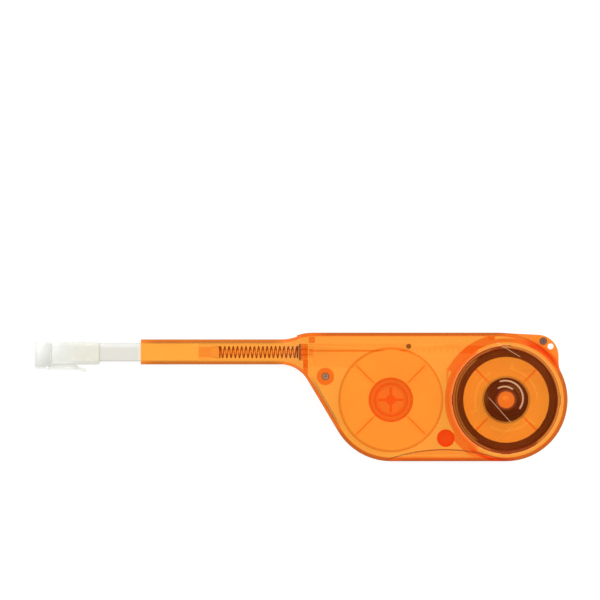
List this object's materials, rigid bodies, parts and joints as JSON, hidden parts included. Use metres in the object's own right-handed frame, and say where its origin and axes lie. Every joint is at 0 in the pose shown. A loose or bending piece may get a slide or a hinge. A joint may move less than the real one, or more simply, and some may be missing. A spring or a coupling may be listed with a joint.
{
  "type": "fibre connector cleaning pen",
  "caption": "Push-type cleaning pen for multi-fibre connectors: transparent reel housing with a spring-loaded white nozzle, tape reels, rack and gear drive, and a lidded guide cap.",
  "frame": {"origin": "under the middle of the pen, on the plane of its big lower face", "axes": "-X the way the nozzle points, +Z along the reel axles, up from the lower shell to the upper one"},
  "size_m": [0.2125, 0.0514, 0.019],
  "materials": {
    "clear_orange": "transparent orange, glossy",
    "orange_reel": "translucent orange, glossy",
    "black_plastic": "black, satin",
    "white_plastic": "white, satin",
    "natural_plastic": "translucent natural, glossy",
    "screw_steel": "zinc plated",
    "spring_steel": "dark drawn wire",
    "dark_steel": "dark, plain",
    "tape_cloth": "dense white micro-fibre",
    "used_cloth": "used white micro-fibre",
    "soft_pad": "soft, matte"
  },
  "bodies": {
    "housing": {"lower_shell": "clear_orange", "upper_shell": "clear_orange", "neck_screw": "screw_steel", "corner_screw": "screw_steel", "anti_reverse_ring": "black_plastic", "return_spring": "spring_steel", "seat_plate": "dark_steel", "feed_tape": "tape_cloth", "return_tape": "used_cloth"},
    "slider": {"nozzle_sleeve": "white_plastic", "nozzle_tip": "white_plastic", "tip_pad": "soft_pad", "tip_tape": "tape_cloth", "slide_rod": "orange_reel", "slide_plate": "orange_reel", "stop_pin": "dark_steel"},
    "gear": {"drive_gear": "orange_reel"},
    "take_up": {"take_up_reel": "orange_reel", "take_up_flange": "orange_reel", "clutch_hub": "black_plastic", "used_tape": "used_cloth"},
    "supply": {"supply_reel": "orange_reel", "supply_flange": "orange_reel", "supply_tape": "tape_cloth"},
    "cap": {"guide_cap": "natural_plastic", "lid_pin": "screw_steel"},
    "lid": {"dust_lid": "natural_plastic"}
  },
  "joints": [
    {"name": "nozzle_slide", "type": "slide", "parent": "housing", "child": "slider", "axis": [1, 0, 0], "range_m": [0, 0.009], "stiffness_N_per_m": 600, "springref_m": -0.007, "deforming": ["return_spring", "feed_tape", "return_tape"]},
    {"name": "gear_turn", "type": "hinge", "parent": "housing", "child": "gear", "pos_m": [0.08175, -0.00115, 0.003], "axis": [0, 0, -1], "range_deg": [0, 27]},
    {"name": "take_up_turn", "type": "hinge", "parent": "housing", "child": "take_up", "pos_m": [0.08175, -0.00115, 0.0095], "axis": [0, 0, 1], "continuous": true},
    {"name": "supply_turn", "type": "hinge", "parent": "housing", "child": "supply", "pos_m": [0.03575, -0.00115, 0.0095], "axis": [0, 0, 1], "continuous": true},
    {"name": "cap_pull", "type": "slide", "parent": "slider", "child": "cap", "axis": [-1, 0, 0], "range_m": [0, 0.02]},
    {"name": "lid_hinge", "type": "hinge", "parent": "cap", "child": "lid", "pos_m": [-0.10125, 0.01175, 0.0095], "axis": [0, 0, 1], "range_deg": [0, 110]}
  ],
  "couplings": [
    {"joint": "gear_turn", "follows": "nozzle_slide", "rad_per_m": 51.282},
    {"joint": "supply_turn", "follows": "take_up_turn", "ratio": 0.4848}
  ]
}
